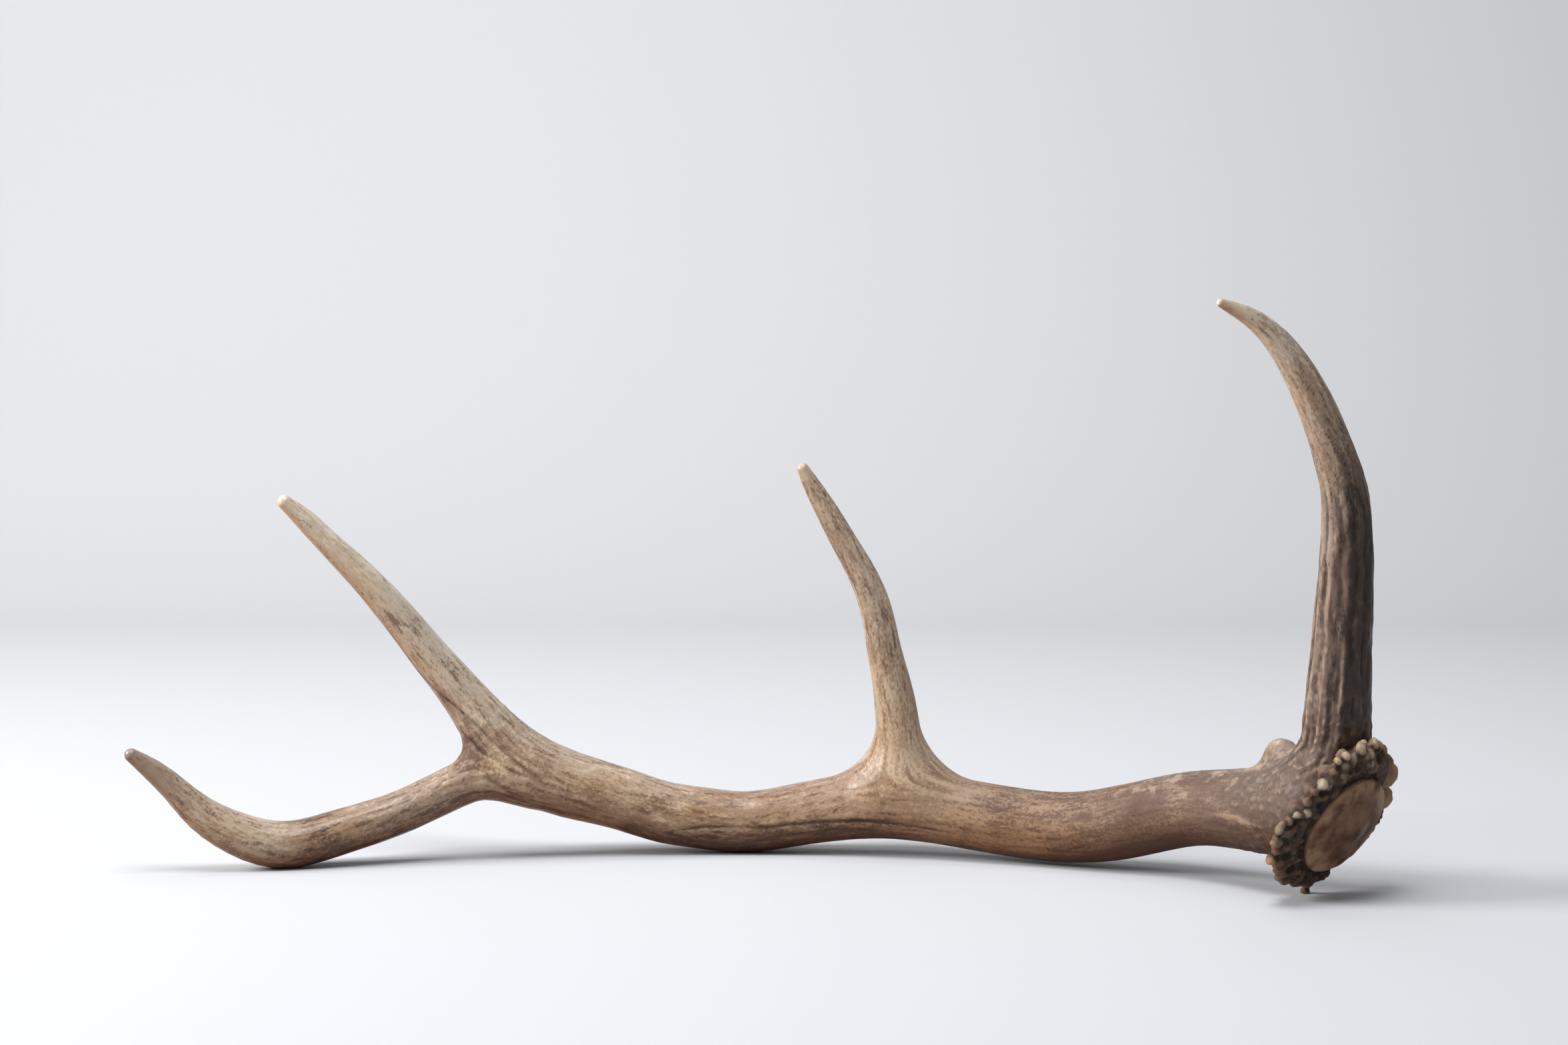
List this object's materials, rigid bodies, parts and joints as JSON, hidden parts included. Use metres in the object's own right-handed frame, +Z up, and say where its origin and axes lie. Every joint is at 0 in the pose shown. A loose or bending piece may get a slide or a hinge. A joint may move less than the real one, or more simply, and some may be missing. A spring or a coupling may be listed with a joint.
{
  "type": "deer antler",
  "caption": "Shed deer antler with a knobbly burr, a curved beam and upswept tines, lying on its burr, mid beam and crown bend.",
  "frame": {"origin": "on the table, under the middle of the antler's box as it rests", "axes": "+Z up as the antler rests, +X along the antler towards the burr, +Y away from the side that the picture shows"},
  "size_m": [0.6502, 0.1862, 0.2997],
  "materials": {
    "lower_beam": "semi-gloss antler bone, grey brown with orange tan patches, dark lumpy burr with pale pearls and a cream seal",
    "upper_beam": "semi-gloss antler bone, tan with fine dark brown dashes along the grain",
    "brow_tine": "satin antler bone, dark grey brown with tan ridges, polished ivory point",
    "trez_tine": "semi-gloss antler bone, cream tan, polished pale point",
    "upper_crown_tine": "semi-gloss antler bone, cream with an olive cast on top, polished pale point",
    "lower_crown_tine": "semi-gloss antler bone, mottled brown, grey brown point"
  },
  "bodies": {
    "root": {"lower_beam": "lower_beam", "upper_beam": "upper_beam", "brow_tine": "brow_tine", "trez_tine": "trez_tine", "upper_crown_tine": "upper_crown_tine", "lower_crown_tine": "lower_crown_tine"}
  },
  "joints": []
}
